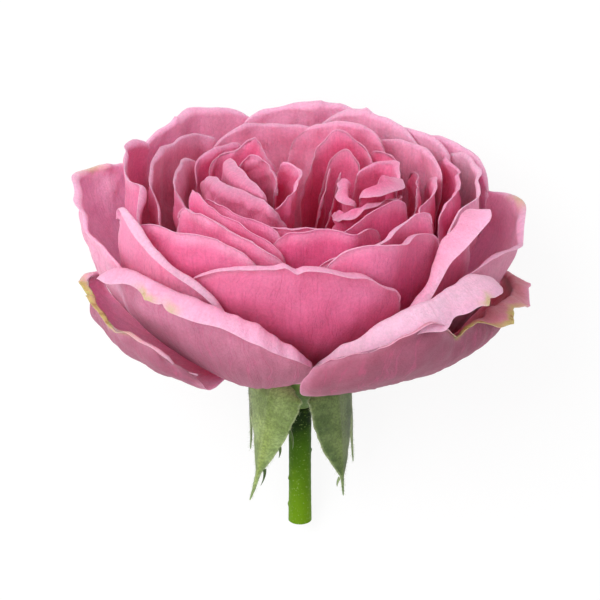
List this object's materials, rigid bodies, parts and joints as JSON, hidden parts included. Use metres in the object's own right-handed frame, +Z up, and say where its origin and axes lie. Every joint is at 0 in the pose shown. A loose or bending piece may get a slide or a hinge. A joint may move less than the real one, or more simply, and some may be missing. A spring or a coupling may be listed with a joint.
{
  "type": "rose",
  "caption": "Full double pink garden rose on a short cut stem, lying on its side, with ruffled petals in a quartered cup, reflexed sepals and a bare stem.",
  "frame": {"origin": "centre of the footprint, on the surface the rose lies on", "axes": "+Z up from the surface, +Y level, the way the flower's face leans, +X across the flower"},
  "size_m": [0.0788, 0.0772, 0.0631],
  "materials": {
    "outer_petal": "soft satin petal, mauve pink with fine veins",
    "cup_petal": "soft satin petal, mid pink with a pale rim",
    "inner_petal": "soft satin petal, mid pink",
    "centre_petal": "soft satin petal, deep pink at its base",
    "sepal": "matte felted green",
    "stem": "fresh green bark, slightly waxy",
    "receptacle": "smooth green hip",
    "stamens": "matte yellow-brown tuft"
  },
  "bodies": {
    "root": {"outer_petal_01": "outer_petal", "outer_petal_02": "outer_petal", "outer_petal_03": "outer_petal", "outer_petal_04": "outer_petal", "outer_petal_05": "outer_petal", "outer_petal_06": "outer_petal", "outer_petal_07": "outer_petal", "outer_petal_08": "outer_petal", "outer_petal_09": "outer_petal", "cup_petal_01": "cup_petal", "cup_petal_02": "cup_petal", "cup_petal_03": "cup_petal", "cup_petal_04": "cup_petal", "cup_petal_05": "cup_petal", "cup_petal_06": "cup_petal", "cup_petal_07": "cup_petal", "cup_petal_08": "cup_petal", "cup_petal_09": "cup_petal", "cup_petal_10": "cup_petal", "cup_petal_11": "cup_petal", "cup_petal_12": "cup_petal", "cup_petal_13": "cup_petal", "cup_petal_14": "cup_petal", "inner_petal_01": "inner_petal", "inner_petal_02": "inner_petal", "inner_petal_03": "inner_petal", "inner_petal_04": "inner_petal", "inner_petal_05": "inner_petal", "inner_petal_06": "inner_petal", "inner_petal_07": "inner_petal", "inner_petal_08": "inner_petal", "inner_petal_09": "inner_petal", "inner_petal_10": "inner_petal", "inner_petal_11": "inner_petal", "inner_petal_12": "inner_petal", "centre_petal_01": "centre_petal", "centre_petal_02": "centre_petal", "centre_petal_03": "centre_petal", "centre_petal_04": "centre_petal", "centre_petal_05": "centre_petal", "centre_petal_06": "centre_petal", "centre_petal_07": "centre_petal", "centre_petal_08": "centre_petal", "centre_petal_09": "centre_petal", "centre_petal_10": "centre_petal", "centre_petal_11": "centre_petal", "centre_petal_12": "centre_petal", "centre_petal_13": "centre_petal", "centre_petal_14": "centre_petal", "centre_petal_15": "centre_petal", "centre_petal_16": "centre_petal", "sepal_1": "sepal", "sepal_2": "sepal", "sepal_3": "sepal", "sepal_4": "sepal", "sepal_5": "sepal", "receptacle": "receptacle", "stem": "stem", "stamens": "stamens"}
  },
  "joints": []
}
